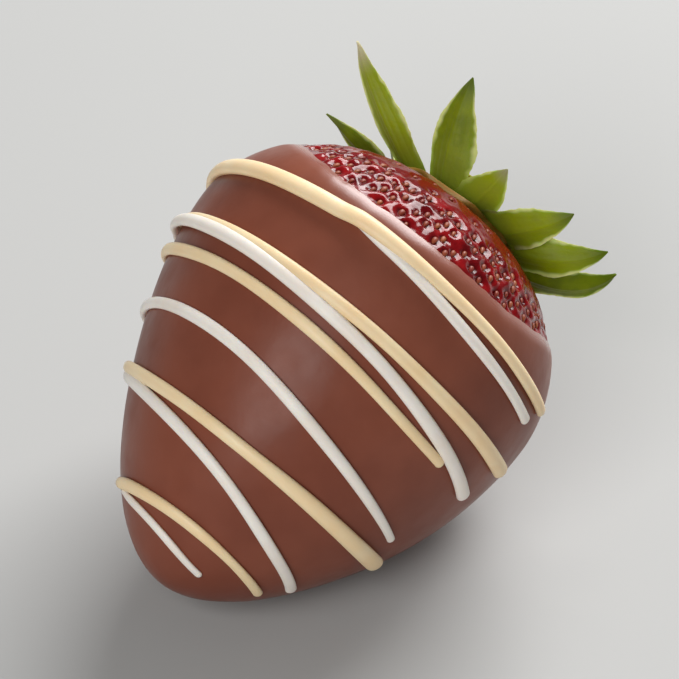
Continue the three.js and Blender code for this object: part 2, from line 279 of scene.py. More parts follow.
def slow_waves(points):
    """Waves drawn out along the berry's axis."""
    spots = points / (WAVE_ACROSS, WAVE_ALONG, WAVE_ACROSS)
    return noise_over(spots) + FINE_WAVE * noise_over(3 * spots)


# %% Shape the coat
COAT_COLUMNS = 288
OUTSIDE_ROWS = 150
LIP_ROWS = 8
INSIDE_ROWS = 24
AT_TIP = 0.05 * MM  # the first ring, round the pole

coat_angles = round_turn(COAT_COLUMNS)
rims = rim_at(coat_angles)
outside = AT_TIP + np.linspace(0, 1, OUTSIDE_ROWS)[:, None] * (rims - AT_TIP)
inside = outside[:: -OUTSIDE_ROWS // INSIDE_ROWS]
round_lip = np.linspace(0, np.pi, LIP_ROWS + 2)[1:-1, None]
LIP = (EDGE - RIM_ROUNDING) / 2
to_edge = np.clip(1 - (rims - outside) / RIM_SHOULDER, 0, 1)
waves = WAVE_HEIGHT * slow_waves(skin(outside, coat_angles)) - RIM_ROUNDING * to_edge**2
coat_grid = np.concatenate([
    skin(outside, coat_angles, waves),
    skin(rims + LIP * np.sin(round_lip), coat_angles, waves[-1] - LIP * (1 - np.cos(round_lip))),
    skin(inside, coat_angles, -coat_at(inside, coat_angles)),
])
to_rim = np.zeros(coat_grid.shape[:2])
to_rim[:OUTSIDE_ROWS] = rims - outside
print(f"the coat is a grid of {coat_grid.shape[0]} by {coat_grid.shape[1]} points")

# %% [markdown]
# ## The icing
#
# Icing squeezed from a bag with a fine tip falls as a round rope and settles on the chocolate without
# spreading much. That leaves a crease under both sides, which reads as a thin dark line. Each rope follows
# a parabola round the berry, given by its distances from the tip on both flanks and on the upper side, and
# sways a little about it. Its thickness changes towards its ends. A bevelled curve could draw it, but a
# curve doesn't know the skin's normal, and its beads would roll off the sides. Here each cross-section is
# an ellipse set on the skin, its widest place a little above it.

# %% The strokes of icing
BEAD_HALF_WIDTH = 0.69 * MM
BEAD_PROUD = 0.8 * MM
BEAD_SUNK = 0.12 * MM
HEAD_LENGTH = 0.16  # share of its length over which a bead swells from its first end
TAIL_TURN = math.radians(45)  # turn over which its girth changes to its tail's
BEADS_LEFT = math.radians(-45)
BEADS_RIGHT = math.radians(95)


def table(fields, *rows):
    """Rows of values as dictionaries, by the names of their fields."""
    return [dict(zip(fields.split(), row)) for row in rows]


# From, to and thins are degrees round the axis, left to sway millimetres from the tip, and the rest shares.
BEADS = table(
    "icing from to left upper right sway girth head thins tail",
    ("yellow", -80, 106, 41.7, 41.4, 42.1, 0, 1.26, 1, 12, 0.68),
    ("ivory", 8, 98, 45, 40.8, 39.9, 0, 0.82, 0.6, 50, 0.95),
    ("ivory", -95, 104, 35.3, 32.7, 31.1, -0.1, 0.98, 0.8, 50, 1),
    ("yellow", -66, 110, 35.7, 34, 35.1, -0.1, 1, 0.7, 50, 1.1),
    ("yellow", -86, 82, 32.6, 30.4, 30.7, -0.25, 0.92, 0.75, 15, 0.8),
    ("ivory", -92, 102, 27.1, 24.45, 22.8, -0.45, 0.88, 0.75, 60, 0.65),
    ("yellow", -82, 116, 20.4, 18.15, 19.75, 0, 0.92, 0.75, 25, 1.4),
    ("ivory", -88, 112, 19.35, 14.6, 12.5, -0.25, 0.88, 0.75, 50, 0.9),
    ("yellow", -70, 108, 9.9, 8.85, 9.25, 0, 0.9, 0.7, 25, 0.75),
    ("ivory", -55, 64, 8.7, 5.65, 6.25, -0.2, 0.64, 0.7, 10, 0.8),
)
LIES_OVER = {0: [1], 2: [3, 4], 6: [7], 8: [9]}  # the bead on top, and those that it was drawn across
print(len(BEADS), "strokes of icing, of which", len(LIES_OVER), "lie over others")


def bead_along(stroke, angle):
    """Distance of a bead's middle from the tip."""
    t = (angle - (BEADS_LEFT + BEADS_RIGHT) / 2) / ((BEADS_RIGHT - BEADS_LEFT) / 2)
    slope = (stroke["right"] - stroke["left"]) / 2
    bow = (stroke["right"] + stroke["left"]) / 2 - stroke["upper"]
    return (stroke["upper"] + slope * t + bow * t * t + stroke["sway"] * np.sin(np.pi * t)) * MM


# %% [markdown]
# Where two ropes cross, the later one climbs over the earlier. Its lift follows from how far apart their
# middles are: nothing while they lie clear of each other, and most of a bead's height where they share one
# line.

# %% Let the ropes wander and climb
CLIMB = 0.5 * MM
CLIMB_RUN = (0.05, 0.1)  # turn before and after the end of the rope below over which it climbs
HAND_WANDER = 0.08 * MM  # how far an unsteady hand strays from the parabola
HAND_SQUEEZE = 0.06  # and how unevenly it squeezes
HAND_BEAT = 2.4 * MM  # over what length
HAND_SLOW = (0.65, 2.2)  # its slow wander: its share of the whole, and how much longer its beat is


def unsteady(travelled, index):
    """A slow wander between -1 and 1, its own for each rope."""
    beats = travelled / HAND_BEAT
    share, longer = HAND_SLOW
    return share * np.sin(beats / longer + 2.1 * index) + (1 - share) * np.sin(beats + 4.3 * index)


def climb(index, angle):
    """How far a rope is lifted by those that it lies across."""
    lift = np.zeros_like(angle)
    for under in LIES_OVER.get(index, []):
        apart = np.abs(bead_along(BEADS[index], angle) - bead_along(BEADS[under], angle))
        before, after = CLIMB_RUN
        first, last = (math.radians(BEADS[under][end]) for end in ("from", "to"))
        there = smoothstep(angle, first - before, first + after)
        there *= smoothstep(-angle, -last - before, after - last)
        lift = np.maximum(lift, CLIMB * there * smoothstep(-apart, -2 * BEAD_HALF_WIDTH, 0))
    return lift


# %% Shape one rope of icing
BEAD_STEP = 0.3 * MM
BEAD_SIDES = 24
END_ROWS = 9  # cross-sections in the round of each end
NUDGE = 0.01 * MM  # a small step off the skin, to find which way is out
CLOSED = 0.003  # how nearly the last cross-section closes


def unit(vectors):
    return vectors / np.linalg.norm(vectors, axis=-1, keepdims=True)


def rope(index):
    """The cross-sections of one rope of icing, with rounded ends."""
    stroke = BEADS[index]
    start, end = math.radians(stroke["from"]), math.radians(stroke["to"])
    length = (end - start) * outline(stroke["upper"] * MM)[0]
    cap = BEAD_HALF_WIDTH * stroke["girth"] / length
    closing = cap * (1 - np.cos(np.linspace(0, np.pi / 2, END_ROWS, endpoint=False)))
    between = np.linspace(cap, 1 - cap, int(length / BEAD_STEP))
    t = np.concatenate([closing, between, 1 - closing[::-1]])[:, None]
    angle = start + (end - start) * t
    along = bead_along(stroke, angle) + HAND_WANDER * unsteady(t * length, index)
    lift = climb(index, angle)
    middle = skin(along, angle, lift)
    outwards = unit(skin(along, angle, lift + NUDGE) - middle)
    sideways = unit(np.cross(outwards, np.gradient(middle, axis=0)))

    head = (1 - stroke["head"]) * (1 - smoothstep(t, 0, HEAD_LENGTH))
    thins = math.radians(stroke["thins"])
    tail = (1 - stroke["tail"]) * smoothstep(angle, thins, thins + TAIL_TURN)
    girth = stroke["girth"] * (1 - head - tail) * (1 + HAND_SQUEEZE * unsteady(t * length, index + 5))
    from_end = np.minimum(t, 1 - t)
    inside_cap = np.clip(from_end * length / (BEAD_HALF_WIDTH * girth), CLOSED, 1)
    round_end = np.sqrt(1 - (1 - inside_cap) ** 2)
    turn = round_turn(BEAD_SIDES)
    width = BEAD_HALF_WIDTH * girth * round_end * np.cos(turn)
    axis, half_height = (BEAD_PROUD - BEAD_SUNK) / 2, (BEAD_PROUD + BEAD_SUNK) / 2
    height = girth * (axis + half_height * round_end * np.sin(turn))
    return middle + sideways * width[..., None] + outwards * height[..., None]


ropes = [rope(index) for index in range(len(BEADS))]
print("the longest rope has", max(len(grid) for grid in ropes), "cross-sections")

# %% [markdown]
# ## Laying the berry down
#
# The berry lies on its side with its leaves up a little, and the coat set against whatever it was laid on,
# which left a small flat. The box round the coat and its icing is matched to the frame's box sideways and
# lengthways, and its height follows from how deep the flat is. The chocolate's edge round the flat is soft,
# so the cut is a smooth minimum and not a knife's.

# %% Set it down on its flat
TILT = math.radians(23)
FOOT_DEPTH = 0.5 * MM
FOOT_SOFTNESS = 0.12 * MM


def tilted(points):
    """Points turned with the berry as it is laid down, leaves up."""
    x, y, z = np.moveaxis(points, -1, 0)
    back, over = math.cos(TILT), math.sin(TILT)
    return np.stack([x, y * back - z * over, y * over + z * back], axis=-1)


laid = np.concatenate([tilted(grid).reshape(-1, 3) for grid in [coat_grid, *ropes]])
cad_middle = sum(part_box("chocolate_coat"), Vector()) / 2
own_middle = (laid.min(0) + laid.max(0)) / 2
lowest = tilted(coat_grid)[..., 2].min()
OFFSET = np.array([cad_middle.x - own_middle[0], cad_middle.y - own_middle[1], -lowest - FOOT_DEPTH])
print("the tip's own origin lies at", np.round(OFFSET / MM, 2), "mm")


def set_down(points):
    """Points in their place in the frame."""
    points = tilted(points) + OFFSET
    points[:, 2] = (points[:, 2] + np.sqrt(points[:, 2] ** 2 + FOOT_SOFTNESS**2)) / 2
    return points


# %% Put the coat on the frame
def new_piece(name, node, bodies):
    """Bodies as one smooth mesh in its place, which rides on the frame and stands for one of its nodes."""
    points, faces, masks = joined(bodies)
    mesh = bpy.data.meshes.new(name)
    mesh.from_pydata(set_down(points).tolist(), [], faces)
    for title, values in masks.items():
        mesh.attributes.new(title, "FLOAT", "POINT").data.foreach_set("value", values.astype(np.float32))
    shape = bmesh.new()
    shape.from_mesh(mesh)
    bmesh.ops.recalc_face_normals(shape, faces=shape.faces)
    shape.to_mesh(mesh)
    shape.free()
    mesh.shade_smooth()
    piece = bpy.data.objects.new(name, mesh)
    bpy.context.scene.collection.objects.link(piece)
    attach(piece, "root")
    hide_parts(node)
    print(f"{name}: {len(mesh.vertices)} vertices, {len(mesh.polygons)} faces")
    return piece


coat_body = closed_body(coat_grid, to_rim=to_rim / MM)
coat = new_piece("coat", "chocolate_coat", [coat_body])

# %% Lay on the icing
drizzles = {}
for icing in ("ivory", "yellow"):
    ours = [closed_body(grid) for grid, stroke in zip(ropes, BEADS) if stroke["icing"] == icing]
    drizzles[icing] = new_piece(f"drizzle_{icing}", "chocolate_coat", ours)

# %% [markdown]
# ## Seeds and their pits
#
# A strawberry's seeds are really its small dry fruits. Each sits in a pit, and between the pits the wet
# flesh bulges like the padding of a quilt. They follow a spiral that turns by the golden angle from one to
# the next, as in a pine cone, which spreads them evenly with no rows. Towards the leaves they are smaller
# and further apart. The pits are pressed into the flesh first, and then a seed is set in each.

# %% Spread the seeds
SEEDS = 330  # on the whole band, part of which the chocolate covers
SEEDS_FROM = 43.6 * MM  # distance of the lowest seeds from the tip
SEEDS_CLEAR_OF_RIM = 0.4 * MM
NECK = 8.8 * MM  # smoother flesh below the crest, with fewer seeds
NECK_SEEDS = 84
NECK_SEEDS_CLEAR_OF_CREST = 0.6 * MM
NECK_SEED_SIZE = 0.75
SEED_SIZES = (0.82, 1.1)  # smallest and largest
GOLDEN_ANGLE = math.pi * (3 - math.sqrt(5))
SCATTER = 0.22 * MM


def spiral(count, low, high):
    """Distances from the tip and angles of seeds spread evenly between two distances."""
    numbers = np.arange(count)
    return low + (high - low) * (numbers + 0.5) / count, numbers * GOLDEN_ANGLE % (2 * np.pi)


chance = np.random.default_rng(7)
on_band = spiral(SEEDS, SEEDS_FROM, TO_CREST - NECK)
on_neck = spiral(NECK_SEEDS, TO_CREST - NECK, TO_CREST - NECK_SEEDS_CLEAR_OF_CREST)
seed_alongs, seed_angles = np.concatenate([on_band, on_neck], axis=1)
seed_alongs += chance.normal(0, SCATTER, len(seed_alongs))
seed_angles += chance.normal(0, SCATTER, len(seed_alongs)) / outline(seed_alongs)[0]
seed_sizes = chance.uniform(*SEED_SIZES, len(seed_alongs))
seed_sizes[SEEDS:] *= NECK_SEED_SIZE
bare = seed_alongs > rim_at(seed_angles) + SEEDS_CLEAR_OF_RIM
seed_alongs, seed_angles, seed_sizes = seed_alongs[bare], seed_angles[bare], seed_sizes[bare]
print(f"{bare.sum()} seeds, the lowest {seed_alongs.min() / MM:.1f} mm from the tip")

# %% Lay out the flesh
FLESH_COLUMNS = 560
HIDDEN_ROWS = 24
SHOWN_ROWS = 120
HIDDEN_UNDER_RIM = 2 * MM
UNDER_COAT = 0.15 * MM  # how deep the flesh reaches into the chocolate, so that no gap shows
FLESH_LIFT = -0.38 * MM

flesh_angles = round_turn(FLESH_COLUMNS)
shown_from = rim_at(flesh_angles) - HIDDEN_UNDER_RIM
hidden = AT_TIP + np.linspace(0, 1, HIDDEN_ROWS, endpoint=False)[:, None] * (shown_from - AT_TIP)
shown = shown_from + np.linspace(0, 1, SHOWN_ROWS)[:, None] * (OUTLINE_LENGTH - AT_TIP - shown_from)
flesh_alongs = np.concatenate([hidden, shown])
flesh_lifts = np.minimum(FLESH_LIFT, UNDER_COAT - coat_at(flesh_alongs, flesh_angles))
flesh_points = skin(flesh_alongs, flesh_angles, flesh_lifts)
print(f"the flesh is a grid of {flesh_points.shape[0]} by {flesh_points.shape[1]} points")

# %% Press the pits and raise the bulges
PIT_DEPTH = 0.36 * MM
PIT_RADIUS = 0.58 * MM
SWELLING = 0.22 * MM  # uneven bulges between the pits
SWELLING_SIZE = 1.5 * MM
FINE_SWELLING = 0.4  # height of smaller bulges on them, as a share
FINE_SWELLING_SIZE = 0.65 * MM
NECK_SWELLING = 0.45  # what is left of the bulges on the neck, as a share
NECK_PITS = 0.7  # and of the pits
NECK_BLEND = (2.8 * MM, 1.2 * MM)  # distances above and below that over which the band turns into it
NECK_WANDER = 0.8 * MM  # how far that border strays to and fro
NECK_WANDER_SIZE = 4.5 * MM
SHOULDER_BLEND = 5.5 * MM  # distance below the crest over which the neck pales

pits = np.zeros_like(flesh_lifts)
for centre, size in zip(skin(seed_alongs, seed_angles, FLESH_LIFT), seed_sizes):
    away = np.linalg.norm(flesh_points - centre, axis=-1) / size
    pits = np.maximum(pits, np.exp(-((away / PIT_RADIUS) ** 2)))
bulges = noise_over(flesh_points / SWELLING_SIZE)
bulges += FINE_SWELLING * noise_over(flesh_points / FINE_SWELLING_SIZE)
below_crest = TO_CREST - flesh_alongs + NECK_WANDER * noise_over(flesh_points / NECK_WANDER_SIZE)
neck = 1 - smoothstep(below_crest, NECK - NECK_BLEND[0], NECK + NECK_BLEND[1])
shoulder = 1 - smoothstep(below_crest, 0, SHOULDER_BLEND)
flesh_lifts -= PIT_DEPTH * pits * (1 - (1 - NECK_PITS) * neck)
flesh_lifts += SWELLING * bulges * (1 - (1 - NECK_SWELLING) * neck)
flesh_grid = skin(flesh_alongs, flesh_angles, flesh_lifts)
flesh_body = closed_body(flesh_grid, pit=pits, neck=neck, shoulder=shoulder)
flesh = new_piece("flesh", "strawberry", [flesh_body])

# %% Set a seed in each pit
SEED_HALF_LENGTH = 0.5 * MM
SEED_HALF_WIDTH = 0.3 * MM
SEED_HALF_HEIGHT = 0.22 * MM
SEED_SHOWS = 0.12 * MM  # height of a seed's middle over the bottom of its pit
SEED_ROWS = 9
SEED_SIDES = 12
SEED_POINT = 0.4  # how much slimmer the end towards the tip is
SEED_ENDS = 0.98  # share of the way to each point at which the last cross-section lies


def seed(along, angle, size):
    """One seed, lying along the skin at the bottom of its pit."""
    t = np.linspace(-SEED_ENDS, SEED_ENDS, SEED_ROWS)[:, None]
    turn = round_turn(SEED_SIDES)
    girth = size * np.sqrt(1 - t * t) * (1 - SEED_POINT * (0.5 - t / 2) ** 1.5)
    sideways = girth * SEED_HALF_WIDTH * np.cos(turn) / outline(along)[0]
    nearest = np.linalg.norm(flesh_points - skin(along, angle, FLESH_LIFT), axis=-1).argmin()
    lift = flesh_lifts.flat[nearest] + SEED_SHOWS + girth * SEED_HALF_HEIGHT * np.sin(turn)
    return closed_body(skin(along + size * SEED_HALF_LENGTH * t, angle + sideways, lift))


seed_bodies = [seed(*numbers) for numbers in zip(seed_alongs, seed_angles, seed_sizes)]
seeds = new_piece("seeds", "strawberry", seed_bodies)

# %% [markdown]
# ## The leaves
#
# The green crown of a strawberry is its calyx. Each sepal is a narrow leaf that leaves the hub almost flat,
# turns up at an elbow and tapers to a point. Its blade is folded along the midrib and ripples at the edges.
# A plane with a picture of a leaf would do from afar, but it has no edge, and light can't pass through it.
# Here each cross-section is a thin closed loop: thickest at the midrib, with a groove along the top and a
# rib below it.

# %% The sepals' sizes
# Length and width are millimetres. Angle, root, tip and roll are degrees. The rest are shares.
# a sepal with a lower tone is painted a darker green, partly its own colour and partly a painted shade
SEPALS = table(
    "angle length width root tip roll curl tone dry",
    (-100, 14, 4.2, 16, 52, -12, 0.05, 0.5, 0.6),
    (-72, 14, 3, 4, 24, 20, -0.05, 0.2, 0.2),
    (-50, 17.5, 3.9, 20, 36, 36, 0, 0.8, 1),
    (-8, 13.8, 4.8, 38, 70, 10, 0, 0.35, 0.1),
    (38, 9.4, 4.4, 18, 52, -12, 0.04, 1, 0.5),
    (70, 13.4, 4.8, 8, 44, -24, 0.05, 0.7, 0.1),
    (92, 15.3, 4.5, 4, 42, -38, 0.08, 0.6, 0),
    (119, 17.3, 4.6, 0, 52, -38, 0.12, 0.1, 0),
    (152, 13, 4.6, 10, 40, -8, 0.06, 0.6, 0.7),
    (-172, 14, 3.4, 22, 50, 14, -0.05, 0.3, 0.2),
    (-136, 13, 4.6, 8, 34, 10, 0.08, 0.8, 1),
)
SEPAL_ELBOW = 0.62  # where along it the elbow is
SEPAL_ROOT = 2.3 * MM  # distance of its root from the middle of the stem
SEPAL_ROOT_DEPTH = 0.2 * MM
SEPAL_WIDEST = 0.4
SEPAL_ROOT_WIDTH = 0.62
SEPAL_TIP_WIDTH = 0.03
SEPAL_TIP_TAPER = 2.1
SEPAL_FOLD = 0.42  # rise of its edges over its midrib, as a share of its half width
SEPAL_DROOP = 0.3  # how far the outermost part of the blade bends down again, likewise
SEPAL_DROOP_BEAT = 5 * MM
SEPAL_TWIST = math.radians(16)  # of its tip, either way
SEPAL_WAVE = 0.75 * MM  # height of the ripples along its edges
SEPAL_WAVE_BEAT = 3.6 * MM
SEPAL_WAVE_FADE = 0.6  # how much of the ripples' strength is lost towards the tip
SEPAL_UNEVEN = (0.16, 2.6 * MM)  # share of its half width by which its outline swells, and the beat
SEPAL_RAGGED = (0.05, 0.5 * MM)  # and the same of the small nicks that break it
SEPAL_EVEN_ROOT = (0.1, 0.45)  # shares of its length between which both set in
SEPAL_THICKNESS = 0.4 * MM
SEPAL_EDGE = 0.35  # thickness at the edges, as a share of the midrib's
SEPAL_THINNING = 0.5  # share of its thickness that is lost towards the tip
SEPAL_SQUARENESS = 0.4  # 1 is an ellipse in section, and nearer to 0 its two faces are flatter
SEPAL_ROWS = 100
SEPAL_SIDES = 52
VEINS = (0, 0.34, 0.66)  # where the long veins run, as shares of the half width
VEIN_DEPTH = 0.11 * MM
VEIN_WIDTH = 0.07
VEIN_FADE = 0.5  # share of its depth that a vein at the very edge would lose
SIDE_VEIN_PITCH = 1.15 * MM
SIDE_VEIN_SLANT = 1.3
SIDE_VEIN_DEPTH = 0.035 * MM
SIDE_VEIN_WIDTH = 0.16  # as a share of their pitch
SIDE_VEIN_START = (0.05, 0.3)  # shares of the half width between which they set in
SIDE_VEIN_SHARE = 0.4  # how pale they are beside the long ones
EDGE_WANDER = (0.14, 0.9 * MM)  # how unevenly the pale edge, partly a painted highlight, runs, and its beat
print(len(SEPALS), "sepals, the longest", max(sizes["length"] for sizes in SEPALS), "mm")


# %% Bend a midrib and draw the outline of a blade
def midrib(start, elbow, end, curl):
    """Even points and their headings on a curve that turns at the elbow and ends `curl` beside its end."""
    path = bezier(start, (start + 2 * elbow) / 3, (end + 2 * elbow) / 3, end + curl, steps=200)
    travelled = distances(path)
    stops = np.linspace(0, travelled[-1], SEPAL_ROWS)
    even = np.stack([np.interp(stops, travelled, path[:, side]) for side in range(3)], axis=-1)
    return even, unit(np.gradient(even, axis=0))


def sepal_shape(t):
    """Half width of a sepal as a share of its nominal one, from its root (0) to its tip (1)."""
    before = np.clip(1 - t / SEPAL_WIDEST, 0, 1)
    after = np.clip((t - SEPAL_WIDEST) / (1 - SEPAL_WIDEST), 0, 1)
    return 1 - (1 - SEPAL_ROOT_WIDTH) * before**2 - (1 - SEPAL_TIP_WIDTH) * after**SEPAL_TIP_TAPER


# %% Shape one sepal
def sepal(index):
    """One sepal, with its masks."""
    sizes = SEPALS[index]
    angle, root, tip, roll = (math.radians(sizes[name]) for name in ("angle", "root", "tip", "roll"))
    length, width = sizes["length"] * MM, sizes["width"] * MM
    up = np.array([0, 1, 0])
    out = np.array([math.sin(angle), 0, math.cos(angle)])
    start = SEPAL_ROOT * out + (LENGTH - SEPAL_ROOT_DEPTH) * up
    elbow = start + SEPAL_ELBOW * length * (math.cos(root) * out + math.sin(root) * up)
    end = elbow + (1 - SEPAL_ELBOW) * length * (math.cos(tip) * out + math.sin(tip) * up)
    curl = sizes["curl"] * length * (math.cos(tip) * up - math.sin(tip) * out)
    middle, forward = midrib(start, elbow, end, curl)

    t = np.linspace(0, 1, SEPAL_ROWS)[:, None]
    loop = round_turn(SEPAL_SIDES)
    across = np.cos(loop)
    out_there = np.abs(across)

    def unevenly(beat):
        """Noise along the blade, its own for each side of each sepal."""
        spots = np.broadcast_arrays(t * length / beat, 3.7 * np.sign(across), 5.3 * index)
        return noise_over(np.stack(spots, axis=-1))

    level = np.cross(up, out)
    turn = roll * np.sin(np.pi * t / 2) + SEPAL_TWIST * t * math.sin(3.1 * index)
    side = level * np.cos(turn) + np.cross(forward, level) * np.sin(turn)
    normal = np.cross(forward, side)

    swelling, swelling_beat = SEPAL_UNEVEN
    nicks, nick_beat = SEPAL_RAGGED
    rough = swelling * unevenly(swelling_beat) + nicks * unevenly(nick_beat) * out_there**4
    rough *= smoothstep(t, *SEPAL_EVEN_ROOT)
    half = width / 2 * sepal_shape(t) * (1 + rough * out_there)
    droop = SEPAL_DROOP * (0.5 + unevenly(SEPAL_DROOP_BEAT)) * out_there**4
    fold = half * (SEPAL_FOLD * out_there - droop)
    wave = SEPAL_WAVE * unevenly(SEPAL_WAVE_BEAT) * out_there**1.5
    wave *= np.minimum(2 * t, 1) * np.sqrt(1 - SEPAL_WAVE_FADE * t)
    veins = sum(np.exp(-(((out_there - at) / VEIN_WIDTH) ** 2)) * (1 - VEIN_FADE * at) for at in VEINS)
    slanting = (t * length - SIDE_VEIN_SLANT * half * out_there) / SIDE_VEIN_PITCH % 1
    side_veins = np.exp(-(((slanting - 0.5) / SIDE_VEIN_WIDTH) ** 2))
    side_veins *= smoothstep(out_there, *SIDE_VEIN_START)
    fading = np.sin(np.pi * np.clip(t + 0.1, 0, 1))
    relief = -(VEIN_DEPTH * veins + SIDE_VEIN_DEPTH * side_veins * (1 - out_there)) * fading
    thickness = SEPAL_THICKNESS * (1 - (1 - SEPAL_EDGE) * across**2) * (1 - SEPAL_THINNING * t)
    face = np.sign(np.sin(loop)) * np.abs(np.sin(loop)) ** SEPAL_SQUARENESS
    lift = fold + wave + relief + thickness / 2 * face
    grid = middle[:, None] + side[:, None] * (half * across)[..., None] + normal[:, None] * lift[..., None]
    return closed_body(
        grid,
        edge=out_there + EDGE_WANDER[0] * unevenly(EDGE_WANDER[1]),
        vein=np.clip(veins + SIDE_VEIN_SHARE * side_veins, 0, 1),
        under=smoothstep(-face, -0.2, 0.2),
        tone=sizes["tone"],
        dry=sizes["dry"],
        outwards=t,
        from_stem=(SEPAL_ROOT + t * length) / MM,
    )


sepals = new_piece("sepals", "calyx", [sepal(index) for index in range(len(SEPALS))])

# %% [markdown]
# ## The hub and the stem
#
# The sepals are joined at their roots into a thick collar that stands round the dimple, and the stem was
# cut a few millimetres above it. Both are turned bodies, but the collar bulges up and out under each sepal,
# with a furrow between two, and the stem has soft ribs, so that they don't look like parts off a lathe. The
# lower edge of the collar is dry and brown.

# %% Shape the hub
HUB_RADIUS = 7.9 * MM
HUB_SIDE = 0.95 * MM
HUB_DOME = 0.5 * MM
HUB_BULGE = 0.07  # share of its radius by which it bulges at each sepal
HUB_FURROW = 0.45 * MM  # depth of the furrow between two sepals
HUB_BULGE_TURN = 0.22  # turn to either side of a sepal over which its bulge falls off
HUB_HOLE = 0.05  # radius of its innermost ring underneath, as a share of its own
HUB_BROWN_EDGE = 12  # the higher, the narrower the brown edge is
HUB_COLUMNS = 264
HUB_ROWS = 16  # underneath
DOME_ROWS = 13

hub_angles = round_turn(HUB_COLUMNS)
under_hub = OUTLINE_LENGTH - np.linspace(HUB_HOLE, 1, HUB_ROWS)[:, None] * HUB_RADIUS
hub_foot = skin(under_hub, hub_angles, -EDGE)
dome = np.linspace(0, np.pi / 2, DOME_ROWS, endpoint=False)[:, None, None]
leaving = np.radians([sizes["angle"] for sizes in SEPALS])[:, None]
turned_away = np.arctan2(np.sin(hub_angles - leaving), np.cos(hub_angles - leaving))
bulges = np.exp(-((turned_away / HUB_BULGE_TURN) ** 2)).max(0)[None, :, None]
wide = np.cos(dome) * (1 + HUB_BULGE * (bulges - 0.5))
hub_dome = hub_foot[-1] * np.concatenate([wide, np.ones_like(wide), wide], axis=-1)
furrows = (HUB_FURROW * (1 - bulges) * np.sin(2 * dome) ** 0.5)[..., 0]
hub_dome[..., 1] += (HUB_SIDE + HUB_DOME * np.sin(dome))[..., 0] - furrows
inwards = np.concatenate([np.ones(HUB_ROWS), np.cos(dome[:, 0, 0])])[:, None]
hub_body = closed_body(
    np.concatenate([hub_foot, hub_dome]),
    side=inwards**HUB_BROWN_EDGE,
    from_stem=inwards * HUB_RADIUS / MM,
)
hub = new_piece("hub", "calyx", [hub_body])

# %% Shape the stem
STEM_RADIUS = 1.15 * MM
STEM_FLARE = 1.1  # radius at the cut, as a share of that
STEM_FOOT = (0.35, 8)  # its foot: how much wider it is, and how fast that is lost
STEM_RIBS = 0.04  # height of its five ribs, as a share of its radius
STEM_LENGTH = 5.5 * MM
STEM_LEAN = 1.4 * MM
STEM_DEPTH = 1.2 * MM
STEM_ROWS = 30
STEM_COLUMNS = 48
STEM_CHAMFER = 0.08
CUT_RINGS = (1 - STEM_CHAMFER / 3, 1 - STEM_CHAMFER, 0.7, 0.4, 0.1)  # radii across the cut, as shares

stem_angles = round_turn(STEM_COLUMNS)
t = np.concatenate([np.linspace(0, 1, STEM_ROWS), np.ones(len(CUT_RINGS) - 1)])[:, None]
shrink = np.concatenate([np.ones(STEM_ROWS - 1), CUT_RINGS])[:, None]
flare = 1 + (STEM_FLARE - 1) * t + STEM_FOOT[0] * np.exp(-STEM_FOOT[1] * t)
stem_radii = STEM_RADIUS * flare * shrink * (1 + STEM_RIBS * np.cos(5 * stem_angles + 2 * t))
stem_sides = np.broadcast_arrays(
    stem_radii * np.sin(stem_angles),
    LENGTH - STEM_DEPTH + STEM_LENGTH * t,
    stem_radii * np.cos(stem_angles) + STEM_LEAN * t * t,
)
cut = smoothstep(1 - shrink, STEM_CHAMFER, 2 * STEM_CHAMFER)
stem_body = closed_body(np.stack(stem_sides, axis=-1), cut=cut)
stem = new_piece("stem", "calyx", [stem_body])

# %% [markdown]
# ## Two effects that the finishes share
#
# Nothing grown or poured is one flat colour. *Mottling* drifts between two colours with smooth noise. *Fine
# relief* tilts the light with noise too fine for the mesh. Both are node groups, built once and placed in
# each material with its own values, so that one change mends every finish. They put out only a colour and a
# normal.


# %% Stretch a value, read a mask and mix two colours
def set_values(node, **values):
    """Plain values on a node's inputs. Names use _ for spaces."""
    for title, value in values.items():
        node.inputs[title.replace("_", " ")].default_value = value


def add_range(tree, value, kind="LINEAR", **limits):
    """A value stretched from one range to another, each 0 to 1 where nothing else is said."""
    stretched = tree.nodes.new("ShaderNodeMapRange")
    stretched.interpolation_type = kind
    set_values(stretched, **limits)
    tree.links.new(value, stretched.inputs["Value"])
    return stretched.outputs["Result"]


def add_mask(tree, name, low, high):
    """A mask from the mesh, as 0 below `low` and 1 above `high`."""
    stored = tree.nodes.new("ShaderNodeAttribute")
    stored.attribute_name = name
    return add_range(tree, stored.outputs["Fac"], "SMOOTHSTEP", From_Min=low, From_Max=high)


def add_mix(tree, factor, first, second):
    """A mix of two colours, each a socket or a plain colour."""
    mix = tree.nodes.new("ShaderNodeMix")
    mix.data_type = "RGBA"
    tree.links.new(factor, mix.inputs["Factor"])
    for socket, colour in ((mix.inputs["A"], first), (mix.inputs["B"], second)):
        if isinstance(colour, tuple):
            socket.default_value = (*colour, 1)
        else:
            tree.links.new(colour, socket)
    return mix.outputs["Result"]


# %% Start a shared group
def new_group(name, output, **inputs):
    """An empty shader group with its sockets, and its two end nodes. Names use _ for spaces."""
    group = bpy.data.node_groups.new(name, "ShaderNodeTree")
    for title, value in inputs.items():
        kind = "NodeSocketColor" if isinstance(value, tuple) else "NodeSocketFloat"
        socket = group.interface.new_socket(title.replace("_", " "), in_out="INPUT", socket_type=kind)
        socket.default_value = value
    group.interface.new_socket(output[0], in_out="OUTPUT", socket_type=output[1])
    return group, group.nodes.new("NodeGroupInput"), group.nodes.new("NodeGroupOutput")


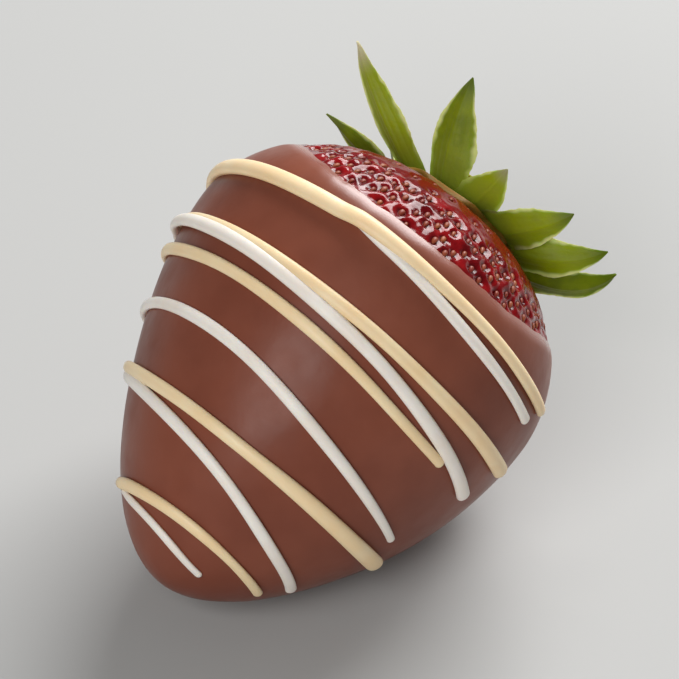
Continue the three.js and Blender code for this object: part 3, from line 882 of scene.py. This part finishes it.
def noise_of_size(group, size, detail):
    """Noise in a group, whose beat in metres is one of the group's inputs."""
    place = group.nodes.new("ShaderNodeTexCoord")
    per_metre = group.nodes.new("ShaderNodeMath")
    per_metre.operation = "DIVIDE"
    per_metre.inputs[0].default_value = 1
    texture = group.nodes.new("ShaderNodeTexNoise")
    texture.inputs["Detail"].default_value = detail
    group.links.new(size, per_metre.inputs[1])
    group.links.new(per_metre.outputs[0], texture.inputs["Scale"])
    group.links.new(place.outputs["Object"], texture.inputs["Vector"])
    return texture.outputs["Fac"]


# %% Build the mottling
mottling, ends_in, ends_out = new_group(
    "mottling",
    ("Colour", "NodeSocketColor"),
    Colour=(0.5, 0.5, 0.5, 1),
    Other_Colour=(0.4, 0.4, 0.4, 1),
    Patch_Size=5 * MM,
)
patches = noise_of_size(mottling, ends_in.outputs["Patch Size"], detail=3)
spread = add_range(mottling, patches, From_Min=0.35, From_Max=0.65)
both = (ends_in.outputs["Colour"], ends_in.outputs["Other Colour"])
mottling.links.new(add_mix(mottling, spread, *both), ends_out.inputs["Colour"])
print("mottling has", len(mottling.nodes), "nodes")

# %% Build the fine relief
fine_relief, ends_in, ends_out = new_group(
    "fine_relief", ("Normal", "NodeSocketVector"), Grain_Size=1 * MM, Height=0.02 * MM
)
bump = fine_relief.nodes.new("ShaderNodeBump")
grains = noise_of_size(fine_relief, ends_in.outputs["Grain Size"], detail=2)
fine_relief.links.new(grains, bump.inputs["Height"])
fine_relief.links.new(ends_in.outputs["Height"], bump.inputs["Distance"])
fine_relief.links.new(bump.outputs["Normal"], ends_out.inputs["Normal"])
print("fine relief has", len(fine_relief.nodes), "nodes")


# %% Start a finish, and place the shared groups in it
def new_finish(name, *pieces, **settings):
    """The nodes and the shader of a new material on some pieces, with the shader's plain values set."""
    finish = bpy.data.materials.new(name)
    finish.use_nodes = True
    for piece in pieces:
        piece.data.materials.append(finish)
    shader = finish.node_tree.nodes["Principled BSDF"]
    set_values(shader, **settings)
    print(name, "is on", *(piece.name for piece in pieces))
    return finish.node_tree, shader


def add_group(tree, group, *values):
    """The output of a shared group placed in a material, with its own values."""
    placed = tree.nodes.new("ShaderNodeGroup")
    placed.node_tree = group
    for socket, value in zip(placed.inputs, values):
        socket.default_value = value
    return placed.outputs[0]


def add_mottling(tree, colour, other, patch_size):
    """A colour that drifts into another and back."""
    return add_group(tree, mottling, (*colour, 1), (*other, 1), patch_size)


def add_grain(tree, shader, size, height):
    """Fine relief all over a finish."""
    tree.links.new(add_group(tree, fine_relief, size, height), shader.inputs["Normal"])


# %% [markdown]
# ## Milk chocolate
#
# Tempered milk chocolate is satin: a broad soft highlight over a warm mid brown. Its surface is fat and
# sugar, so a little light goes in and comes out again, which softens the shadows. Its gloss is patchy,
# because the fat blooms here and there: that is the mottling again, with two greys in place of colours.
# Where the coat thins out at the rim, the edge is painted a paler pinkish brown: partly the red of the fruit
# coming through, and partly a painted highlight. It set so smooth there that it shines. Both use the
# distance to the rim, stored on the mesh.

# %% Finish the chocolate
CHOCOLATE = (0.25, 0.076, 0.045)
CHOCOLATE_DEEP = (0.2, 0.057, 0.033)
# the rim's paler colour: partly the fruit's red through the thin coat, partly a painted highlight
CHOCOLATE_THIN_AND_HIGHLIGHT = (0.3, 0.11, 0.08)
SATIN = 0.32  # roughness of the smoothest patches
DULL = 0.42  # and of those where the fat has begun to bloom
RIM_ROUGHNESS = 0.22
RIM_COAT = 0.6  # how much of a clear shine the rim has, which is gone where the coat is full
RIM_FADES = (0, 1.6)  # millimetres from the rim between which it gets its full colour

tree, shader = new_finish(
    "milk_chocolate",
    coat,
    Specular_IOR_Level=0.18,
    Subsurface_Weight=0.1,
    Subsurface_Scale=0.6 * MM,
    Subsurface_Radius=(1, 0.45, 0.3),
    Coat_Roughness=0.2,
    Coat_IOR=1.45,
)
full = add_mask(tree, "to_rim", *RIM_FADES)
browns = add_mottling(tree, CHOCOLATE, CHOCOLATE_DEEP, 9 * MM)
# near the rim the paler colour, partly a painted highlight, gives way to the browns
tree.links.new(add_mix(tree, full, CHOCOLATE_THIN_AND_HIGHLIGHT, browns), shader.inputs["Base Color"])
bloom = add_mottling(tree, (SATIN,) * 3, (DULL,) * 3, 3 * MM)
tree.links.new(add_mix(tree, full, (RIM_ROUGHNESS,) * 3, bloom), shader.inputs["Roughness"])
tree.links.new(add_range(tree, full, To_Min=RIM_COAT, To_Max=0), shader.inputs["Coat Weight"])
add_grain(tree, shader, 1.1 * MM, 0.02 * MM)

# %% [markdown]
# ## Icing
#
# Candy icing is opaque and nearly matt, but sugar lets light travel a millimetre inside it. That lights the
# ropes from within and keeps their shadow sides from going grey. The two icings differ only in colour.

# %% Finish the icing
IVORIES = ((0.95, 0.88, 0.8), (0.9, 0.81, 0.72))  # two colours that it drifts between
YELLOWS = ((0.97, 0.76, 0.48), (0.94, 0.69, 0.4))

for icing, colours in (("ivory", IVORIES), ("yellow", YELLOWS)):
    tree, shader = new_finish(
        f"{icing}_icing",
        drizzles[icing],
        Roughness=0.42,
        Specular_IOR_Level=0.4,
        Subsurface_Weight=0.25,
        Subsurface_Scale=0.8 * MM,
        Subsurface_Radius=(1, 0.75, 0.5),
    )
    tree.links.new(add_mottling(tree, *colours, 4 * MM), shader.inputs["Base Color"])
    add_grain(tree, shader, 0.6 * MM, 0.015 * MM)

# %% [markdown]
# ## Wet flesh
#
# The bare band of fruit is deep red and wet. Red light travels a few millimetres through the flesh, which
# the subsurface radius says, and a thin clear coat over it gives each bulge its own sharp highlight. The
# bottom of each pit is painted a darker red, a painted shade. On the neck the skin is drier and a darker
# red, and just below the leaves it turns to a brownish orange. The seeds are dry husks: brown, redder in
# patches, and nearly matt.

# %% Finish the flesh
FLESH = (0.28, 0.004, 0.006)
FLESH_DEEP = (0.12, 0.001, 0.003)
# painted shade: the bottom of each pit is painted this darker red
FLESH_PIT_SHADE = (0.08, 0.001, 0.002)
FLESH_NECK = (0.15, 0.007, 0.003)
FLESH_SHOULDER = (0.17, 0.04, 0.005)
PIT_SHADE_DEPTHS = (0.15, 0.8)  # depths of a pit, as shares, between which a painted shade darkens it
WATER_IOR = 1.33
BAND_COAT = 0.9
NECK_COAT = 0.07

tree, shader = new_finish(
    "wet_flesh",
    flesh,
    Roughness=0.25,
    Specular_IOR_Level=0.05,
    Subsurface_Weight=0.15,
    Subsurface_Scale=1.2 * MM,
    Subsurface_Radius=(1, 0.2, 0.12),
    Coat_Roughness=0.1,
    Coat_IOR=WATER_IOR,
)
reds = add_mottling(tree, FLESH, FLESH_DEEP, 2 * MM)
# painted shade in the pits, darker the deeper the pit
pit_shaded = add_mix(tree, add_mask(tree, "pit", *PIT_SHADE_DEPTHS), reds, FLESH_PIT_SHADE)
neck_mask = add_mask(tree, "neck", 0, 1)
necked = add_mix(tree, neck_mask, pit_shaded, FLESH_NECK)
paled = add_mix(tree, add_mask(tree, "shoulder", 0, 1), necked, FLESH_SHOULDER)
tree.links.new(paled, shader.inputs["Base Color"])
shine = add_range(tree, neck_mask, To_Min=BAND_COAT, To_Max=NECK_COAT)
tree.links.new(shine, shader.inputs["Coat Weight"])
add_grain(tree, shader, 0.5 * MM, 0.06 * MM)

# %% Finish the seeds
SEED_COLOUR = (0.34, 0.09, 0.03)
SEED_DARK = (0.2, 0.02, 0.012)

tree, shader = new_finish("seed_husk", seeds, Roughness=0.4, Specular_IOR_Level=0.3)
tree.links.new(add_mottling(tree, SEED_COLOUR, SEED_DARK, 2 * MM), shader.inputs["Base Color"])

# %% [markdown]
# ## Green leaves
#
# A fresh sepal is olive green with paler veins and a pale edge, and its underside is lighter and duller
# than its top. The pale edge is partly the sepal's own colour and partly a painted highlight. Some sepals
# are painted a darker green all over, partly their own colour and partly a painted shade. Some points have
# dried to beige and others are a darker green. All of it comes from masks written on the mesh with the
# shape, so the colours follow the veins. Leaves glow when lit from behind, which a little subsurface light
# gives. The collar has the pale colour of the sepals' roots, so that no seam shows, with a brown side, and
# the stem is green up to its paler cut.

# %% Finish the leaves
LEAF = (0.3, 0.36, 0.003)
LEAF_DEEP = (0.19, 0.24, 0.002)
LEAF_DARK = (0.1, 0.14, 0.003)
LEAF_VEIN = (0.37, 0.42, 0.04)
# pale edge colour, partly the sepal's own and partly a painted highlight
LEAF_PALE_EDGE_AND_HIGHLIGHT = (0.62, 0.62, 0.27)
LEAF_DRY_TIP = (0.58, 0.5, 0.33)
LEAF_UNDER = (0.28, 0.33, 0.02)
LEAF_ROOT = (0.3, 0.34, 0.035)
VEIN_COLOURS = (0.25, 1)  # heights of a vein, as shares, between which it pales
UNDERSIDE = (0.3, 0.7)  # where the edge turns into the underside
PALE_EDGE = (0.77, 0.98)  # shares of its half width between which a sepal pales, partly a painted highlight
LEAF_POINT = (0.78, 1)  # shares of its length between which it takes the colour of its point
ROOT_FADES = (4, 11)  # millimetres from the middle of the stem over which the pale root colour ends

tree, shader = new_finish(
    "sepal_green",
    sepals,
    Roughness=0.45,
    Specular_IOR_Level=0.15,
    Subsurface_Weight=0.25,
    Subsurface_Scale=0.4 * MM,
    Subsurface_Radius=(0.6, 1, 0.2),
)
young = add_mottling(tree, LEAF, LEAF_DEEP, 2.2 * MM)
# the darker greens of the darker sepals, partly a painted shade
darker_green_and_shade = add_mottling(tree, LEAF_DEEP, LEAF_DARK, 1.8 * MM)
under = add_mottling(tree, LEAF_UNDER, LEAF, 1.5 * MM)
veined = add_mix(tree, add_mask(tree, "vein", *VEIN_COLOURS), young, LEAF_VEIN)
backed = add_mix(tree, add_mask(tree, "under", *UNDERSIDE), veined, under)
# sepals with a lower tone are painted a darker green, partly their own colour and partly a painted shade
toned_and_shaded = add_mix(tree, add_mask(tree, "tone", 0, 1), darker_green_and_shade, backed)
# the pale edge is partly the sepal's own colour and partly a painted highlight
edged_and_lit = add_mix(tree, add_mask(tree, "edge", *PALE_EDGE), toned_and_shaded, LEAF_PALE_EDGE_AND_HIGHLIGHT)
tip = add_mix(tree, add_mask(tree, "dry", 0, 1), LEAF_DARK, LEAF_DRY_TIP)
tipped = add_mix(tree, add_mask(tree, "outwards", *LEAF_POINT), edged_and_lit, tip)
rooted = add_mix(tree, add_mask(tree, "from_stem", *ROOT_FADES), LEAF_ROOT, tipped)
tree.links.new(rooted, shader.inputs["Base Color"])
add_grain(tree, shader, 0.35 * MM, 0.04 * MM)

# %% Finish the hub and the stem
HUB_PALE = (0.33, 0.36, 0.06)
HUB_BROWN = (0.22, 0.12, 0.012)
STEM_CUT = (0.5, 0.5, 0.26)
HUB_EDGE = (0.3, 0.95)  # steepness of its side, as a share, between which it browns
CUT_FACE = (0.2, 0.8)  # where the side of the stem turns into its cut

tree, shader = new_finish(
    "stalk_green",
    hub,
    stem,
    Roughness=0.5,
    Specular_IOR_Level=0.15,
    Subsurface_Weight=0.2,
    Subsurface_Scale=1 * MM,
)
root = add_mottling(tree, LEAF_ROOT, HUB_PALE, 1.5 * MM)
young = add_mottling(tree, LEAF, LEAF_DEEP, 2.2 * MM)
green = add_mix(tree, add_mask(tree, "from_stem", *ROOT_FADES), root, young)
browned = add_mix(tree, add_mask(tree, "side", *HUB_EDGE), green, HUB_BROWN)
cut_open = add_mix(tree, add_mask(tree, "cut", *CUT_FACE), browned, STEM_CUT)
tree.links.new(cut_open, shader.inputs["Base Color"])
add_grain(tree, shader, 0.3 * MM, 0.04 * MM)

# %% [markdown]
# ## Floor, light and camera
#
# The berry lies on a pale glazed floor under soft light, as on a white plate. The main light is a wide
# panel behind it, like a window: it glances off whatever is wet or sharp, such as the bulges of the flesh,
# the chocolate's rim and the edges of the leaves, and leaves a shadow on the near side of every rope. A
# weaker panel in front rounds the chocolate and draws one soft highlight down it.

# %% Lay the floor
FLOOR_SIDE = 4.0
FLOOR_COLOUR = (0.47, 0.47, 0.46)

bpy.ops.mesh.primitive_plane_add(size=FLOOR_SIDE)
floor = bpy.context.object
floor.name = "floor"
new_finish("pale_glaze", floor, Roughness=0.55, Specular_IOR_Level=0.2, Base_Color=(*FLOOR_COLOUR, 1))

# %% Hang the lights
LIGHT_AWAY = 0.7
SKY_STRENGTH = 0.13

berry_middle = (cad_box[0] + cad_box[1]) / 2


def look_from(azimuth, elevation, away, name, eye):
    """An object that turns a lamp or a camera to the berry, along +Y at azimuth 0."""
    a, e = math.radians(azimuth), math.radians(elevation)
    towards = Vector((math.sin(a) * math.cos(e), -math.cos(a) * math.cos(e), math.sin(e)))
    holder = bpy.data.objects.new(name, eye)
    bpy.context.scene.collection.objects.link(holder)
    holder.location = berry_middle + towards * away
    holder.rotation_euler = (-towards).to_track_quat("-Z", "Y").to_euler()
    return holder


def panel(name, azimuth, elevation, width, height, watts):
    """A soft rectangular light."""
    lamp = bpy.data.lights.new(name, "AREA")
    lamp.shape = "RECTANGLE"
    lamp.size = width
    lamp.size_y = height
    lamp.energy = watts
    look_from(azimuth, elevation, LIGHT_AWAY, name, lamp)
    print(f"{name}: {watts} W")


panel("window", azimuth=192, elevation=38, width=0.54, height=0.38, watts=7.5)
panel("front_light", azimuth=17, elevation=36, width=0.4, height=0.4, watts=3)
world = bpy.data.worlds.new("studio")
world.use_nodes = True
set_values(world.node_tree.nodes["Background"], Color=(1, 1, 1, 1), Strength=SKY_STRENGTH)
bpy.context.scene.world = world
bpy.context.scene.view_settings.view_transform = "Standard"

# %% Aim the camera
VIEW_AZIMUTH = 41
VIEW_ELEVATION = 40
DISTANCE = 0.7  # well away, so that the near end looks hardly larger than the far one
SENSOR = 36
VIEW_WIDTH = 64 * MM  # what the frame takes in at the berry

lens = bpy.data.cameras.new("camera")
lens.sensor_width = SENSOR
lens.lens = SENSOR * DISTANCE / VIEW_WIDTH
bpy.context.scene.camera = look_from(VIEW_AZIMUTH, VIEW_ELEVATION, DISTANCE, "camera", lens)
print(f"the lens is {lens.lens:.0f} mm long")
